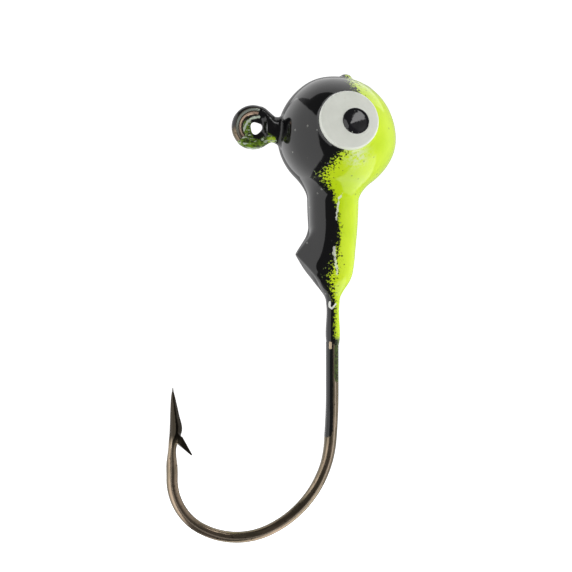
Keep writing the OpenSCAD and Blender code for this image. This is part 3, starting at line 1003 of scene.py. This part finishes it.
def pupil_drop():
    """The black drop: a round edge under a low cone whose peak is off its middle."""
    rim = 0.05
    profile = [(0, rim)] + [(r, rim) for r in np.linspace(0, PUPIL_R - rim, 12)[1:-1]]
    profile += corner((PUPIL_R - rim, 0), rim, 90, 0)
    profile += [(PUPIL_R, -0.02), (0, -0.02)]
    points, faces = lathe(profile, EYE_TURNS)
    inwards = np.clip((PUPIL_R - np.hypot(points[:, 0], points[:, 1])) / 0.25, 0, 1)
    from_peak = np.hypot(points[:, 0] - PEAK[0], points[:, 1] - PEAK[1])
    on_top = points[:, 2] > rim - 0.01
    points[:, 2] += np.where(on_top, (PEAK_H - PEAK_SLOPE * from_peak) * inwards, 0)
    return points, faces


def build_eyes():
    """Both eyes: a disc on each boss, and a pupil on each disc."""
    points, faces = pupil_drop()
    pupil_x = (PUPIL_LOW[0] + PUPIL_HIGH[0]) / 2 - BALL[0]
    white, black = eye_finish(), pupil_finish()
    for side, name in ((-1, "right"), (1, "left")):
        place = eye_place(side)
        eye = make("eye_white_" + name + "_piece", *eye_disc())
        eye.matrix_world = place
        keep(eye, white, "eye_enamel", "eye_white_" + name)
        facing = [face[::-1] for face in faces] if side > 0 else faces
        pupil = make("pupil_" + name + "_piece", points * [1, -side, 1], facing)
        lower = side * PUPIL_LOWER
        pupil.matrix_world = place @ Matrix.Translation((pupil_x * MM, lower * MM, EYE_FACE * MM))
        keep(pupil, black, "pupil_enamel", "pupil_" + name)


# ---------- stage ----------

CAMERA_AZIMUTH = math.radians(-13.5)
RIGHT = Vector((math.cos(CAMERA_AZIMUTH), math.sin(CAMERA_AZIMUTH), 0))
BACK = Vector((math.sin(CAMERA_AZIMUTH), -math.cos(CAMERA_AZIMUTH), 0))
UP = Vector((0, 0, 1))
VIEW_WIDTH = 38.32  # how much the camera takes in at the lure
AIM_LEFT = 3.35  # how far the camera aims to the left of the ball, and at what height
AIM_Z = -10.62
FLOOR_GAP = 0.3  # between the floor and the bend of the hook
FLOOR_REACH, WALL_AWAY, SWEEP_R = 1000.0, 700.0, 200.0
PAPER_DARK = (0.90, 0.90, 0.90)
PAPER_LIGHT = (0.93, 0.93, 0.93)


def build_camera():
    """A long lens, so that the lure is seen square on."""
    data = bpy.data.cameras.new("camera")
    data.lens = 400
    distance = VIEW_WIDTH * MM * data.lens / data.sensor_width
    aim = Vector(BALL * MM) - RIGHT * AIM_LEFT * MM
    aim.z = AIM_Z * MM
    camera = bpy.data.objects.new("camera", data)
    camera.location = aim + BACK * distance
    camera.rotation_mode = "QUATERNION"
    camera.rotation_quaternion = (-BACK).to_track_quat("-Z", "Y")
    data.clip_start, data.clip_end = distance * 0.1, distance * 10
    bpy.context.collection.objects.link(camera)
    bpy.context.scene.camera = camera


def build_light(name, toward, distance, size, power, glossy=True):
    """A soft box seen from the head in the direction given as (right, back, up)."""
    data = bpy.data.lights.new(name, "AREA")
    data.shape = "RECTANGLE"
    data.size, data.size_y = size[0] * MM, size[1] * MM
    data.energy = power
    light = bpy.data.objects.new(name, data)
    way = (RIGHT * toward[0] + BACK * toward[1] + UP * toward[2]).normalized()
    light.location = Vector(BALL * MM) + way * distance * MM
    light.rotation_mode = "QUATERNION"
    light.rotation_quaternion = way.to_track_quat("Z", "Y")
    light.visible_glossy = glossy
    light.visible_camera = False
    bpy.context.collection.objects.link(light)


def build_stage():
    """A pale paper floor that sweeps up into a wall behind the lure."""
    floor_z = HOOK_LOW[2] - FLOOR_GAP
    foot = WALL_AWAY - SWEEP_R
    profile = [(-FLOOR_REACH, floor_z), (foot, floor_z)]
    profile += [
        (foot + SWEEP_R * math.sin(a), floor_z + SWEEP_R - SWEEP_R * math.cos(a))
        for a in np.linspace(0, math.pi / 2, 16)[1:]
    ]
    profile += [(WALL_AWAY, FLOOR_REACH)]
    sides = (-FLOOR_REACH, FLOOR_REACH)
    points = [tuple(RIGHT * side - BACK * away + UP * up) for away, up in profile for side in sides]
    faces = [(2 * i, 2 * i + 1, 2 * i + 3, 2 * i + 2) for i in range(len(profile) - 1)]
    sweep = make("backdrop", points, faces)
    paper = Paint("white_paper", Emission_Color=(1.0, 1.0, 1.0), Emission_Strength=0.95)
    grain = paper.noise(paper.place(), 0.2, 3)
    tint = paper.mix(paper.ramp(grain, 0.3, 0.7), PAPER_DARK, PAPER_LIGHT)
    sweep.data.materials.append(paper.finish(Base_Color=tint, Roughness=0.9))
    sweep.visible_glossy = sweep.visible_diffuse = sweep.visible_shadow = False


def build_world():
    """Soft light from behind the lure and from the right, and plain white where nothing stands in view."""
    world = bpy.data.worlds.new("studio")
    world.use_nodes = True
    nodes = Nodes(world.node_tree)
    way = nodes.node("TexCoord").outputs["Generated"]
    behind = nodes.ramp(nodes.vector("DOT_PRODUCT", way, BACK, output="Value"), 0.1, -0.6)
    right = nodes.ramp(nodes.vector("DOT_PRODUCT", way, RIGHT, output="Value"), 0.5, 0.95)
    light = nodes.math("MULTIPLY_ADD", behind, 0.38, 0.12)
    light = nodes.math("MULTIPLY_ADD", right, 0.5, light)
    in_view = nodes.node("LightPath").outputs["Is Camera Ray"]
    strength = nodes.math("MAXIMUM", light, in_view)
    nodes.set(world.node_tree.nodes["Background"], {"Color": (1.0, 1.0, 1.0), "Strength": strength})
    bpy.context.scene.world = world
    bpy.context.scene.view_settings.view_transform = "Standard"


build_camera()
build_world()
build_stage()
build_light("softbox_left", (-1.0, 0.0, -0.12), 100, (296, 246), 0.316)
build_light("softbox_top", (0.1, -0.6, 1.0), 120, (222, 150), 0.112)
build_light("softbox_low", (0.32, -0.35, -0.9), 110, (200, 98), 0.084)
build_light("fill_right", (1.0, 0.3, 0.0), 150, (160, 160), 0.15, glossy=False)
build_light("fill_front", (0.3, 1.0, -0.25), 150, (160, 160), 0.07, glossy=False)
build_light("eye_panel", (0.6, 0.49, 0.64), 150, (26, 28), 0.0085)
build_hook()
build_coats()
build_tie()
build_eyes()
